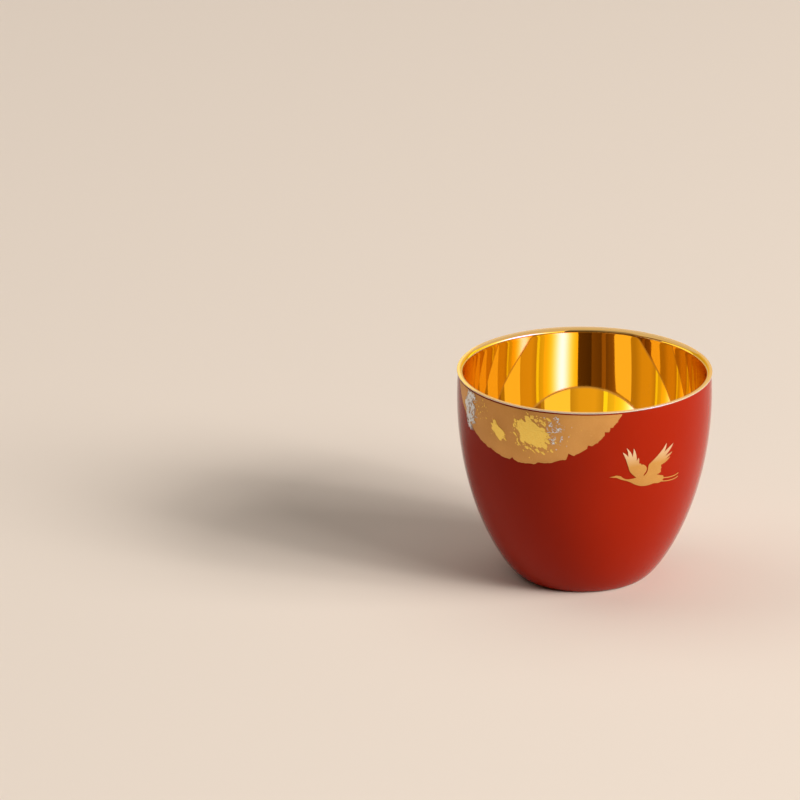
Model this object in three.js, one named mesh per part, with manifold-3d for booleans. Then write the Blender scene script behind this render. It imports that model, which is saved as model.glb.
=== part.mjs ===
// A lacquered drinking cup with two walls: a drawn steel outer shell under red lacquer,
// a gilded inner shell whose rolled lip caps it, a welded base plate with its sealed port,
// and thin gold work on the lacquer: a setting moon with torn leaf, and a crane in flight.
// Millimetres, +Z up. The cup stands on Z = 0 and its decorated side faces -Y.

import * as THREE from "three";
import { mergeVertices } from "three/addons/utils/BufferGeometryUtils.js";
import Module from "manifold-3d";

const wasm = await Module();
wasm.setup();

// Overall form
const cupHeight = 70.2;
const lipDiameter = 84;
const mouthDiameter = 83.2;
const footDiameter = 43.3;
const footOpeningDiameter = 39.3;

// Handles of the one curve that the body follows from foot to mouth
const heelRadius = 25.6;
const heelHeight = 1;
const shoulderRadius = 44.5;
const shoulderHeight = 28;

// Layers of the wall, from outside to inside. The gap between the shells widens downwards
const lacquerThickness = 0.2;
const outerSteel = 0.5;
const lipGap = 0.55;
const footGap = 3.6;
const innerSteel = 0.5;
const jointGap = 0.1;

// The lip, where the gilded sheet is rolled outwards over the walls, and what ends below it
const lipRoll = 1.5;
const lipRounding = 0.2;
const shadowLine = 0.15;
const shellDrop = 0.3;
const bareLacquer = 0.5;

// The inside
const floorHeight = 4.8;
const floorFillet = 7;

// The foot: how far the bare steel shows, and how far the base plate stands back
const bareFoot = 0.35;
const baseRecess = 1.2;
const skirtClearance = 0.15;

// The base plate, its stiffening bead, its port with the glass seal, and the getter
const baseSteel = 0.5;
const beadRadius = 13;
const beadWidth = 2.4;
const beadRise = 0.6;
const portRadius = 3;
const portRise = 0.9;
const portSlope = 0.8;
const portHoleRadius = 0.9;
const sealRadius = 2.7;
const sealHeight = 0.7;
const getterRadius = 2.6;
const getterHeight = 1.1;
const getterReach = 6.6;

// Layers of the gold work
const goldGap = 0.06;
const goldThickness = 0.08;
const leafGap = 0.04;
const leafThickness = 0.05;

// Gold work is measured round the body at the mouth, to the right of -Y
const wrapRadius = mouthDiameter / 2;

// The moon: its middle stands above the lip, which cuts it off
const moonRadius = 41;
const moonLeft = 23;
const moonRise = 21.7;
const moonTear = 0.55;
const moonPoints = 150;

// The leaf on the moon: one large flake below the moon's middle, and the others beside it
const largeLeaf = { width: 10.2, height: 10.6, drop: 8.3 };
const smallLeaf = { width: 5.8, height: 3.2, drop: 10.1 };
const silverLeaf = { width: 3.2, height: 9.6, drop: 7 };
const largeLeafRight = 4.2;
const leafTear = 0.7;
const smallLeafSpace = 3.4;
const silverSpace = 0.2;
const farSilverSpace = 7.6;
const leafPoints = 26;

// The crane: its length from beak to feet, and the place of its back
const craneLength = 27;
const craneRight = 20.7;
const craneDrop = 24.9;

// Fineness of the turned surfaces
const turnSteps = 56;
const wallSteps = 16;
const heelCrowding = 1.4;
const cornerSteps = 4;
const filletSteps = 4;
const smallTurnSteps = 28;

const finishes = {
  lacquer: { color: 0xb01e10, roughness: 0.25, metalness: 0 },
  steel: { color: 0xb9b6b0, roughness: 0.3, metalness: 1 },
  gilding: { color: 0xf0a818, roughness: 0.06, metalness: 1 },
  goldPowder: { color: 0xb9884a, roughness: 0.45, metalness: 0.6 },
  goldLeaf: { color: 0xe3b54c, roughness: 0.35, metalness: 1 },
  silverLeaf: { color: 0xb9bcc0, roughness: 0.3, metalness: 1 },
  sealGlass: { color: 0x4a4038, roughness: 0.2, metalness: 0 },
  getterAlloy: { color: 0x6b6a68, roughness: 0.7, metalness: 0.8 },
};

const point = (radius, height) => new THREE.Vector2(radius, height);

// The body's outer surface as a curve of (radius, height), from foot to mouth
const bodyCurve = new THREE.CubicBezierCurve(
  point(footDiameter / 2, 0),
  point(heelRadius, heelHeight),
  point(shoulderRadius, shoulderHeight),
  point(mouthDiameter / 2, cupHeight),
);

// The point at a share of the body curve, moved inwards by a depth square to the surface
function bodyPoint(share, depth) {
  const at = bodyCurve.getPoint(share);
  const along = bodyCurve.getTangent(share);
  return point(at.x - along.y * depth, at.y + along.x * depth);
}

// The share of the body curve where the surface at a depth reaches a height
function shareAt(height, depthAt) {
  let low = 0;
  let high = 1;
  for (let i = 0; i < 40; i++) {
    const middle = (low + high) / 2;
    if (bodyPoint(middle, depthAt(middle)).y < height) low = middle;
    else high = middle;
  }
  return (low + high) / 2;
}

// The surface at a depth between two shares, as points from the lower to the upper one.
// They crowd together towards the foot, where the body turns most.
function bodyLine(depthAt, from, to) {
  const line = [];
  for (let i = 0; i <= wallSteps; i++) {
    const share = from + (to - from) * (i / wallSteps) ** heelCrowding;
    line.push(bodyPoint(share, depthAt(share)));
  }
  return line;
}

// A line of points moved sideways by a distance, to the right of its direction
function beside(line, distance) {
  return line.map((p, i) => {
    const before = line[Math.max(i - 1, 0)];
    const after = line[Math.min(i + 1, line.length - 1)];
    const along = after.clone().sub(before).normalize();
    return point(p.x + along.y * distance, p.y - along.x * distance);
  });
}

// A quarter round from one angle to another, in degrees from the outward direction
function corner(radius, height, rounding, from, to) {
  const line = [];
  for (let i = 0; i <= cornerSteps; i++) {
    const angle = THREE.MathUtils.degToRad(from + ((to - from) * i) / cornerSteps);
    line.push(point(radius + rounding * Math.cos(angle), height + rounding * Math.sin(angle)));
  }
  return line;
}

// An outline of (radius, height) turned round the cup's axis
function turned(outline, steps = turnSteps) {
  const geometry = new THREE.LatheGeometry(outline, steps);
  return geometry.rotateX(Math.PI / 2);
}

// A closed outline: one line up and another back down
const ring = (up, down) => [...up, ...down, up[0]];

const lacquerDepth = () => lacquerThickness;
const surfaceDepth = () => 0;
const shellOuterDepth = () => lacquerThickness + jointGap;
const shellInnerDepth = () => lacquerThickness + jointGap + outerSteel;

const lipUnderside = cupHeight - innerSteel;
const coatTop = lipUnderside - shadowLine;

// The depth of the gilded surface, across both shells and the gap between them
function gildedDepth(share) {
  const towardsFoot = 1 - bodyCurve.getPoint(share).y / cupHeight;
  const gap = THREE.MathUtils.lerp(lipGap, footGap, towardsFoot);
  return shellInnerDepth() + gap + innerSteel;
}

function makeLacquerCoat() {
  const outside = bodyLine(surfaceDepth, shareAt(bareFoot, surfaceDepth), shareAt(coatTop, surfaceDepth));
  const inside = bodyLine(lacquerDepth, shareAt(bareFoot, lacquerDepth), shareAt(coatTop, lacquerDepth));
  return turned(ring(outside, inside.reverse()));
}

function makeOuterShell() {
  const top = lipUnderside - shellDrop;
  const outside = bodyLine(shellOuterDepth, 0, shareAt(top, shellOuterDepth));
  const inside = bodyLine(shellInnerDepth, 0, shareAt(top, shellInnerDepth));
  const openingRadius = footOpeningDiameter / 2;
  const foot = [point(openingRadius, inside[0].y), point(openingRadius, 0), point(outside[0].x, 0)];
  return turned(ring(outside, [...inside.reverse(), ...foot]));
}

// The gilded surface from the middle of the floor to where the lip's roll begins
function gildedLine() {
  const cornerShare = shareAt(floorHeight, gildedDepth);
  const cornerPoint = bodyPoint(cornerShare, gildedDepth(cornerShare));
  const wallShare = shareAt(floorHeight + floorFillet * 0.6, gildedDepth);
  const wall = bodyLine(gildedDepth, wallShare, shareAt(cupHeight - lipRoll, gildedDepth));
  const fillet = new THREE.QuadraticBezierCurve(
    point(cornerPoint.x - floorFillet, floorHeight),
    cornerPoint,
    wall[0],
  );
  return [point(0, floorHeight), ...fillet.getPoints(filletSteps), ...wall.slice(1)];
}

// The wall and its back run on round the roll, and meet in the lip's rounded outer edge
function makeInnerShell() {
  const gilded = gildedLine();
  const back = beside(gilded, innerSteel);
  back[0].x = 0;
  const rollMiddle = gilded.pop().x + lipRoll;
  const rollHeight = cupHeight - lipRoll;
  back.pop();
  const edge = lipDiameter / 2 - lipRounding;
  const lip = [
    ...corner(rollMiddle, rollHeight, lipRoll, 180, 90),
    ...corner(edge, cupHeight - lipRounding, lipRounding, 90, 0),
    ...corner(edge, lipUnderside + lipRounding, lipRounding, 0, -90),
    ...corner(rollMiddle, rollHeight, lipRoll - innerSteel, 90, 180),
  ];
  return turned([...gilded, ...lip, ...back.reverse()].reverse());
}

function makeBasePlate() {
  const plateRadius = footOpeningDiameter / 2 - jointGap;
  const plateLine = [
    [portHoleRadius, portRise],
    [portRadius, portRise],
    [portRadius + portSlope, 0],
    [beadRadius - beadWidth / 2, 0],
    [beadRadius - beadWidth / 4, beadRise],
    [beadRadius + beadWidth / 4, beadRise],
    [beadRadius + beadWidth / 2, 0],
  ];
  const below = plateLine.map(([radius, rise]) => point(radius, baseRecess + rise));
  const above = plateLine.map(([radius, rise]) => point(radius, baseRecess + rise + baseSteel));
  const skirt = [
    point(plateRadius - baseSteel, baseRecess),
    point(plateRadius - baseSteel, skirtClearance),
    point(plateRadius, skirtClearance),
    point(plateRadius, baseRecess + baseSteel),
  ];
  return turned(ring(below, [...skirt, ...above.reverse()]));
}

function makeDisc(radius, thickness, bottom, across = 0) {
  const geometry = new THREE.CylinderGeometry(radius, radius, thickness, smallTurnSteps);
  return geometry.rotateX(Math.PI / 2).translate(across, 0, bottom + thickness / 2);
}

// A closed geometry as a solid for joining and cutting
function solidOf(geometry) {
  const bare = geometry.clone().deleteAttribute("normal").deleteAttribute("uv");
  const merged = mergeVertices(bare, 1e-4);
  const mesh = new wasm.Mesh({
    numProp: 3,
    vertProperties: merged.attributes.position.array,
    triVerts: new Uint32Array(merged.index.array),
  });
  return new wasm.Manifold(mesh);
}

function geometryOf(solid) {
  const mesh = solid.getMesh();
  const geometry = new THREE.BufferGeometry();
  geometry.setAttribute("position", new THREE.BufferAttribute(mesh.vertProperties, 3));
  geometry.setIndex(new THREE.BufferAttribute(mesh.triVerts, 1));
  geometry.computeVertexNormals();
  return geometry;
}

// A film over the lacquer, from one distance off its surface to another. It leaves a line
// of bare lacquer under the lip.
function film(from, to) {
  const low = shareAt(bareFoot, surfaceDepth);
  const high = shareAt(coatTop - bareLacquer, surfaceDepth);
  const outside = bodyLine(() => -to, low, high);
  const inside = bodyLine(() => -from, low, high);
  return solidOf(turned(ring(outside, inside.reverse())));
}

// A drawing stands on its own middle: x is an arc length round the body and y is up.
// It is pressed onto the body from outside, where its middle is at (along, height).
function pressed(shape, along, height) {
  const drawn = shape.getPoints(6).map((p) => {
    const sideways = wrapRadius * Math.sin(p.x / wrapRadius);
    return point(sideways, p.y + height);
  });
  const block = new THREE.ExtrudeGeometry(new THREE.Shape(drawn), {
    depth: lipDiameter,
    bevelEnabled: false,
  });
  return solidOf(block.rotateX(Math.PI / 2).rotateZ(along / wrapRadius));
}

const goldFilm = film(goldGap, goldGap + goldThickness);
const leafStart = goldGap + goldThickness + leafGap;
const leafFilm = film(leafStart, leafStart + leafThickness);

// A repeatable scatter between -1 and 1
function scatter(seed) {
  const value = Math.sin(seed * 12.9898) * 43758.5453;
  return 2 * (value - Math.floor(value)) - 1;
}

// A round patch with a torn edge: long shallow bites, and small ones on top of them
function tornShape(halfWidth, halfHeight, points, tear, seed) {
  const outline = [];
  for (let i = 0; i < points; i++) {
    const angle = (2 * Math.PI * i) / points;
    const bite = tear * (0.6 * scatter(seed + Math.floor(i / 3)) + 0.4 * scatter(seed + 7 * i));
    outline.push(point((halfWidth + bite) * Math.cos(angle), (halfHeight + bite) * Math.sin(angle)));
  }
  return new THREE.Shape(outline);
}

function makeMoon() {
  const disc = tornShape(moonRadius, moonRadius, moonPoints, moonTear, 3);
  return geometryOf(goldFilm.intersect(pressed(disc, -moonLeft, cupHeight + moonRise)));
}

// A flake of leaf, placed by its distance along the body and its drop below the lip
function makeLeaf(along, flake, seed) {
  const shape = tornShape(flake.width / 2, flake.height / 2, leafPoints, leafTear, seed);
  return geometryOf(leafFilm.intersect(pressed(shape, along, cupHeight - flake.drop)));
}

// The crane is drawn in hundredths of its length, flying to the left
const craneUnit = craneLength / 100;

// One feather: a slim leaf from its root, at an angle in degrees
function feather(x, y, angle, length, width) {
  const turn = THREE.MathUtils.degToRad(angle);
  const root = point(x, y);
  const tip = point(x + length * Math.cos(turn), y + length * Math.sin(turn));
  const across = point(-Math.sin(turn), Math.cos(turn)).multiplyScalar(width / 2);
  const bulge = root.clone().lerp(tip, 0.6);
  const shape = new THREE.Shape();
  shape.moveTo(root.x - across.x, root.y - across.y);
  shape.quadraticCurveTo(bulge.x - across.x, bulge.y - across.y, tip.x, tip.y);
  shape.quadraticCurveTo(bulge.x + across.x, bulge.y + across.y, root.x + across.x, root.y + across.y);
  return shape;
}

// The four long feathers of a wing, fanned between two, the middle ones longer by a swell
function fan(first, last, swell) {
  const { lerp } = THREE.MathUtils;
  return [0, 1 / 3, 2 / 3, 1].map((share) =>
    feather(
      lerp(first.x, last.x, share),
      lerp(first.y, last.y, share),
      lerp(first.angle, last.angle, share),
      lerp(first.length, last.length, share) + swell * Math.sin(Math.PI * share),
      6.4,
    ),
  );
}

// One trailing leg: a thin ribbon that bends up to the toes
function leg(rise, droop) {
  const bend = new THREE.QuadraticBezierCurve(
    point(20, rise),
    point(42, rise - droop),
    point(50, rise + 0.6 - droop / 2),
  );
  const line = bend.getPoints(8);
  return new THREE.Shape([...beside(line, 0.7), ...beside(line, -0.7).reverse()]);
}

function craneShapes() {
  const body = new THREE.Shape();
  body.moveTo(-50, 8.5);
  body.lineTo(-42, 9.2);
  body.bezierCurveTo(-39.5, 11.2, -36, 9.6, -33, 7);
  body.bezierCurveTo(-30, 4.4, -24, 3.4, -16, 4.6);
  body.bezierCurveTo(-6, 6, 6, 5.6, 14, 3);
  body.lineTo(23.4, 0.4);
  body.lineTo(25.4, -7.6);
  body.bezierCurveTo(20, -6.2, 17, -7, 13, -7.6);
  body.bezierCurveTo(4, -9, -6, -8.6, -14, -5);
  body.bezierCurveTo(-22, -1.5, -28, 1, -34, 4);
  body.bezierCurveTo(-37, 5.6, -40, 5.8, -42, 7);

  const farWing = new THREE.Shape();
  farWing.moveTo(-14, 2);
  farWing.bezierCurveTo(-25, 9, -25.5, 16, -28.8, 30);
  farWing.lineTo(-17, 30);
  farWing.bezierCurveTo(-15, 24, -14, 22, -10.5, 21);
  farWing.bezierCurveTo(-5, 20.8, -1.6, 17, -1.6, 13.4);
  farWing.bezierCurveTo(-2, 10, -4, 8.4, -5.4, 6);
  farWing.lineTo(-6, 0);

  const nearWing = new THREE.Shape();
  nearWing.moveTo(-4, 0);
  nearWing.lineTo(-4, 5);
  nearWing.bezierCurveTo(0.6, 9, 1, 13, 0.6, 18.6);
  nearWing.bezierCurveTo(8, 25, 14, 29.6, 20.4, 34);
  nearWing.lineTo(26, 21);
  nearWing.bezierCurveTo(26, 17.4, 24, 15.6, 19, 15);
  nearWing.bezierCurveTo(20.4, 11, 20, 7, 19.4, 0);

  return [
    body,
    farWing,
    nearWing,
    leg(-2.6, 3),
    leg(-6.2, 5),
    ...fan({ x: -27, y: 27, angle: 120, length: 14 }, { x: -15.5, y: 21, angle: 78, length: 9 }, 8),
    ...fan({ x: 19, y: 29.5, angle: 54, length: 13.6 }, { x: 21, y: 17.5, angle: 18, length: 12.5 }, 7),
  ];
}

function makeCrane() {
  const blocks = craneShapes().map((shape) => {
    const sized = shape.getPoints(6).map((p) => p.clone().multiplyScalar(craneUnit));
    return pressed(new THREE.Shape(sized), craneRight, cupHeight - craneDrop);
  });
  const whole = blocks.reduce((sum, block) => sum.add(block));
  return geometryOf(goldFilm.intersect(whole));
}

const cup = new THREE.Group();

function add(name, geometry, finish) {
  const mesh = new THREE.Mesh(geometry, new THREE.MeshStandardMaterial(finishes[finish]));
  mesh.name = name;
  cup.add(mesh);
}

const plateTop = baseRecess + baseSteel;
const sealBottom = baseRecess + portRise - jointGap - sealHeight;

// The flakes stand side by side, and their torn edges stay clear of each other
const largeLeafAlong = largeLeafRight - moonLeft;
const apart = (one, other, space) => (one.width + other.width) / 2 + 2 * leafTear + space;
const nearSilverAlong = largeLeafAlong + apart(largeLeaf, silverLeaf, silverSpace);
const smallLeafAlong = largeLeafAlong - apart(largeLeaf, smallLeaf, smallLeafSpace);
const farSilverAlong = smallLeafAlong - apart(smallLeaf, silverLeaf, farSilverSpace);

add("outer_shell", makeOuterShell(), "steel");
add("inner_shell", makeInnerShell(), "gilding");
add("base_plate", makeBasePlate(), "steel");
add("port_seal", makeDisc(sealRadius, sealHeight, sealBottom), "sealGlass");
add("getter", makeDisc(getterRadius, getterHeight, plateTop + jointGap, getterReach), "getterAlloy");
add("lacquer_coat", makeLacquerCoat(), "lacquer");
add("gold_moon", makeMoon(), "goldPowder");
add("gold_crane", makeCrane(), "goldPowder");
add("gold_leaf_large", makeLeaf(largeLeafAlong, largeLeaf, 11), "goldLeaf");
add("gold_leaf_small", makeLeaf(smallLeafAlong, smallLeaf, 23), "goldLeaf");
add("silver_leaf_right", makeLeaf(nearSilverAlong, silverLeaf, 31), "silverLeaf");
add("silver_leaf_left", makeLeaf(farSilverAlong, silverLeaf, 43), "silverLeaf");

export default cup;
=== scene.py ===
# %% [markdown]
# # A lacquered cup with a gilded inside
# The object is a drinking cup with two thin metal walls. Outside it has polished red
# lacquer with a gold moon, torn flakes of gold and silver leaf and a crane in flight.
# Inside it is plated with mirror gold.
# The CAD frame is loaded first. It fixes every size, and each piece made here is a
# finer version of one CAD node, in the same place.

# %% Load the frame
import math
from collections import Counter

import bmesh
import bpy
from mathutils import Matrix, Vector, noise
from mathutils.geometry import delaunay_2d_cdt


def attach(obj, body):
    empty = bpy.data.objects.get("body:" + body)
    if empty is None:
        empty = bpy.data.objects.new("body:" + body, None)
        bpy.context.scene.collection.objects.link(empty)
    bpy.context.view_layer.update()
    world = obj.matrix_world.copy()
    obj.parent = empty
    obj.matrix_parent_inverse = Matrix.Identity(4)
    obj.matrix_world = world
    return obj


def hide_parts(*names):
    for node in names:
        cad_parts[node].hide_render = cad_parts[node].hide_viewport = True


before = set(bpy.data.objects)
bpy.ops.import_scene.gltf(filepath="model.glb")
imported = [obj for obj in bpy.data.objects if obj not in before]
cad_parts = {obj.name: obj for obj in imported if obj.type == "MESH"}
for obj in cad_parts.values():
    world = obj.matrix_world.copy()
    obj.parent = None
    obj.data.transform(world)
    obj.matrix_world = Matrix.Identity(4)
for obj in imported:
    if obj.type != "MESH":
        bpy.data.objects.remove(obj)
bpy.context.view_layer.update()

scene = bpy.context.scene

# %% [markdown]
# ## Sizes
# These are the cup's own sizes in millimetres, the same ones that the CAD model has.
# A helper turns millimetres into Blender's metres at the moment a mesh is made, so
# that the rest of the file can be read like a workshop drawing.

# %% Sizes of the cup in millimetres
MM = 0.001
cup_height = 70.2
lip_radius = 42.0
mouth_radius = 41.6
foot_radius = 21.65
foot_opening = 19.65
lacquer, steel, joint_gap = 0.2, 0.5, 0.1
lip_gap, foot_gap = 0.55, 3.6
lip_roll, lip_rounding, shell_drop = 1.5, 0.25, 0.3
shadow_line, bare_lacquer = 0.15, 0.3
floor_height, floor_fillet = 4.8, 7.0
bare_foot = 0.35
lip_underside = cup_height - steel
coat_top = lip_underside - shadow_line
print("the lip starts at", lip_underside, "mm and the lacquer ends at", coat_top, "mm")

# %% [markdown]
# ## The body's curve
# The side of the cup is one smooth line: a cubic Bezier curve from the foot to the
# mouth. Walls are drawn as the same line moved inwards, square to itself, which is
# what gives a real pressed or spun wall its even thickness. A curve object could hold
# the line too, but a formula can be asked for a point at any height, and both the
# walls and the gold picture need that.

# %% The curve and the walls that follow it
heel = Vector((25.6, 1))
shoulder = Vector((44.5, 28))
handles = [Vector((foot_radius, 0)), heel, shoulder, Vector((mouth_radius, cup_height))]


def body_point(share, depth):
    """The point (radius, height) at a share of the curve, moved inwards by a depth."""
    a, b, c, d = handles
    rest = 1 - share
    at = a * rest ** 3 + b * 3 * rest ** 2 * share + c * 3 * rest * share ** 2 + d * share ** 3
    along = (b - a) * rest ** 2 + (c - b) * 2 * rest * share + (d - c) * share ** 2
    along.normalize()
    return Vector((at.x - along.y * depth, at.y + along.x * depth))


def share_at(height, depth):
    """The share of the curve where the wall at a depth reaches a height."""
    low, high = 0.0, 1.0
    for _ in range(40):
        middle = (low + high) / 2
        if body_point(middle, depth(middle)).y < height:
            low = middle
        else:
            high = middle
    return (low + high) / 2


def body_line(depth, bottom, top, steps):
    """Points of the wall at a depth, from a height to another, both in millimetres."""
    start, end = share_at(bottom, depth), share_at(top, depth)
    shares = [start + (end - start) * i / steps for i in range(steps + 1)]
    return [body_point(share, depth(share)) for share in shares]


def gilded_depth(share):
    """How deep the gilded surface lies under the lacquer, across both walls and their gap."""
    towards_foot = 1 - body_point(share, 0).y / cup_height
    gap = lip_gap + (foot_gap - lip_gap) * towards_foot
    return lacquer + joint_gap + steel + gap + steel


for name, share in (("lip", 1), ("foot", 0)):
    print("wall thickness at the " + name + ":", round(gilded_depth(share), 2), "mm")

# %% [markdown]
# ## Building node trees in a script
# Geometry Nodes and shader trees are both made of nodes and links. The first helper
# sets a node's inputs: a plain value is written into the socket, and another node's
# output is linked to it. The second makes a node, with its properties and inputs.
# Naming sockets keeps the trees readable.

# %% Helpers for node trees
def set_inputs(tree, target, inputs):
    for name, value in inputs.items():
        if isinstance(value, bpy.types.NodeSocket):
            tree.links.new(value, target.inputs[name])
        else:
            target.inputs[name].default_value = value


def node(tree, kind, inputs=None, **settings):
    made = tree.nodes.new(kind)
    for name, value in settings.items():
        setattr(made, name, value)
    set_inputs(tree, made, inputs or {})
    return made


def math_node(tree, operation, *values):
    return node(tree, "ShaderNodeMath", dict(enumerate(values)), operation=operation).outputs[0]


def geometry_tree(name, **sockets):
    """A Geometry Nodes tree with a geometry input and output, and the named inputs given."""
    tree = bpy.data.node_groups.new(name, "GeometryNodeTree")
    tree.interface.new_socket("Geometry", in_out="INPUT", socket_type="NodeSocketGeometry")
    for label, kind in sockets.items():
        label = label.replace("_", " ")
        tree.interface.new_socket(label, in_out="INPUT", socket_type="NodeSocket" + kind)
    tree.interface.new_socket("Geometry", in_out="OUTPUT", socket_type="NodeSocketGeometry")
    given = tree.nodes.new("NodeGroupInput").outputs
    return tree, given


def finish_tree(tree, geometry, material):
    """Every tree ends the same way: real mesh, then its material."""
    real = node(tree, "GeometryNodeRealizeInstances", {"Geometry": geometry})
    dressed = node(tree, "GeometryNodeSetMaterial", {"Geometry": real.outputs[0], "Material": material})
    node(tree, "NodeGroupOutput", {0: dressed.outputs[0]})


def link_object(name, data):
    made = bpy.data.objects.new(name, data)
    scene.collection.objects.link(made)
    return made


def mesh_object(name, points, edges, faces):
    mesh = bpy.data.meshes.new(name)
    mesh.from_pydata(points, edges, faces)
    return link_object(name, mesh)


def run_tree(piece, tree, **values):
    """Runs a tree on an object, and leaves the result as its plain mesh."""
    modifier = piece.modifiers.new(tree.name, "NODES")
    modifier.node_group = tree
    for item in tree.interface.items_tree:
        key = item.name.replace(" ", "_")
        if item.in_out == "INPUT" and key in values:
            modifier[item.identifier] = values[key]
    shown = piece.evaluated_get(bpy.context.evaluated_depsgraph_get())
    result = bpy.data.meshes.new_from_object(shown)
    piece.modifiers.remove(modifier)
    piece.data = result
    result.name = piece.name
    return piece


def tidy_normals(piece, sharp_angle=35):
    """Faces turned outwards, and soft shading that stays crisp at real edges."""
    form = bmesh.new()
    form.from_mesh(piece.data)
    bmesh.ops.remove_doubles(form, verts=form.verts, dist=1e-7)
    bmesh.ops.recalc_face_normals(form, faces=form.faces)
    form.to_mesh(piece.data)
    form.free()
    piece.data.polygons.foreach_set("use_smooth", [True] * len(piece.data.polygons))
    piece.data.set_sharp_from_angle(angle=math.radians(sharp_angle))
    faces_at = Counter(edge for face in piece.data.polygons for edge in face.edge_keys)
    open_edges = sum(1 for count in faces_at.values() if count != 2)
    print(piece.name, "-", len(piece.data.polygons), "faces,", open_edges, "open edges")


# %% [markdown]
# ## Materials: shared tools
# All finishes are procedural. They read Object coordinates in metres, so the grain
# has its true size and stays in place from every side. Three things make metal and
# lacquer look real: a little change in roughness, a bump far finer than the form, and
# a colour that isn't quite even.

# %% Shader helpers
def new_material(name):
    material = bpy.data.materials.new(name)
    material.use_nodes = True
    tree = material.node_tree
    shader = tree.nodes["Principled BSDF"]
    place = node(tree, "ShaderNodeTexCoord").outputs["Object"]
    return material, tree, shader, place


def grain(tree, place, scale, detail=3.0, roughness=0.55):
    """Noise with a scale in spots per metre."""
    inputs = {"Vector": place, "Scale": scale, "Detail": detail, "Roughness": roughness}
    return node(tree, "ShaderNodeTexNoise", inputs).outputs["Fac"]


def spread(tree, value, low, high, new_low, new_high):
    inputs = {"Value": value, "From Min": low, "From Max": high, "To Min": new_low, "To Max": new_high}
    return node(tree, "ShaderNodeMapRange", inputs).outputs[0]


def blend_colours(tree, share, first, second):
    mixed = node(tree, "ShaderNodeMix", {0: share, 6: first, 7: second}, data_type="RGBA")
    return mixed.outputs[2]


def from_axis(tree, place):
    """Distance from the cup's axis, in metres."""
    parts = node(tree, "ShaderNodeSeparateXYZ", {"Vector": place}).outputs
    flat = node(tree, "ShaderNodeCombineXYZ", {"X": parts["X"], "Y": parts["Y"]}).outputs[0]
    return node(tree, "ShaderNodeVectorMath", {0: flat}, operation="LENGTH").outputs["Value"]


def bump(tree, height, distance, strength=1.0, normal=None):
    inputs = {"Height": height, "Distance": distance, "Strength": strength}
    if normal:
        inputs["Normal"] = normal
    return node(tree, "ShaderNodeBump", inputs).outputs[0]


def colour(red, green, blue):
    return (red, green, blue, 1.0)


# %% [markdown]
# ## Lacquer, gilding and steel
# Red lacquer is a dark, saturated body under a clear polish. Its reflection is weak
# seen straight on and strong at a low angle, which Fresnel gives by itself. Gilding
# is real gold: a bright warm metal that deepens with every reflection inside the cup,
# so one gold colour makes both the bright bands and the deep orange of the walls. On
# the lip it is worn, which makes it paler and a little less like a mirror. The bare
# steel has fine rings from the lathe.

# %% Red lacquer
red_lacquer, tree, shader, place = new_material("red lacquer")
clouds = grain(tree, place, 45, detail=2)
deep_red, warm_red = colour(0.30, 0.0120, 0.0009), colour(0.345, 0.0142, 0.0013)
set_inputs(tree, shader, {
    "Base Color": blend_colours(tree, clouds, deep_red, warm_red),
    "Roughness": spread(tree, grain(tree, place, 900), 0.3, 0.7, 0.10, 0.15),
    "Specular IOR Level": 0.08,
    "Normal": bump(tree, grain(tree, place, 420, detail=1), 0.00001, 0.5),
})

# %% Mirror gilding
gilding, tree, shader, place = new_material("mirror gilding")
rich_gold, worn_lip = colour(0.90, 0.75, 0.45), colour(0.82, 0.71, 0.60)
worn_start, worn_end = (lip_radius - 1.4) * MM, (lip_radius - 0.9) * MM
worn = spread(tree, from_axis(tree, place), worn_start, worn_end, 0, 1)
around = node(tree, "ShaderNodeMapping", {"Vector": place, "Scale": (1.0, 1.0, 6.0)}).outputs[0]
set_inputs(tree, shader, {
    "Base Color": blend_colours(tree, worn, rich_gold, worn_lip),
    "Metallic": spread(tree, worn, 0, 1, 1.0, 0.7),
    "Roughness": spread(tree, grain(tree, around, 300), 0.3, 0.7, 0.015, 0.04),
    "Normal": bump(tree, grain(tree, place, 55, detail=1), 0.00001, 0.5),
})

# %% Turned steel, for the foot ring and the base plate
bare_steel, tree, shader, place = new_material("turned steel")
height = node(tree, "ShaderNodeSeparateXYZ", {"Vector": place}).outputs["Z"]
ring_place = node(tree, "ShaderNodeCombineXYZ", {"X": from_axis(tree, place), "Z": height}).outputs[0]
rings = grain(tree, ring_place, 5000, detail=2)
set_inputs(tree, shader, {
    "Base Color": blend_colours(tree, rings, colour(0.50, 0.48, 0.46), colour(0.66, 0.64, 0.61)),
    "Roughness": spread(tree, rings, 0.3, 0.7, 0.22, 0.38),
    "Normal": bump(tree, rings, 0.00002, 0.6),
    "Metallic": 1.0,
})

# %% Sealing glass and the getter's sintered alloy
seal_glass, tree, shader, place = new_material("sealing glass")
swirl = grain(tree, place, 700, detail=4)
set_inputs(tree, shader, {
    "Base Color": blend_colours(tree, swirl, colour(0.05, 0.035, 0.03), colour(0.12, 0.085, 0.06)),
    "Normal": bump(tree, swirl, 0.00005, 0.5),
    "Roughness": 0.18,
})

getter_alloy, tree, shader, place = new_material("sintered getter alloy")
pores = grain(tree, place, 3500, detail=5)
set_inputs(tree, shader, {
    "Base Color": blend_colours(tree, pores, colour(0.10, 0.10, 0.10), colour(0.24, 0.23, 0.22)),
    "Normal": bump(tree, pores, 0.00008, 0.8),
    "Metallic": 0.7,
    "Roughness": 0.65,
})

# %% [markdown]
# ## Gold powder and metal leaf
# The moon and the crane are sprinkled: fine gold powder fixed in lacquer, so they are
# satin, with a speckle. Leaf is beaten metal laid on glue. It stays wrinkled, so its
# light breaks up into facets; a Voronoi pattern bends the normal cell by cell.

# %% Gold powder in lacquer
# Paler gold, painted on the upper part of the crane as a highlight.
highlight_gold = colour(0.90, 0.74, 0.52)


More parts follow.
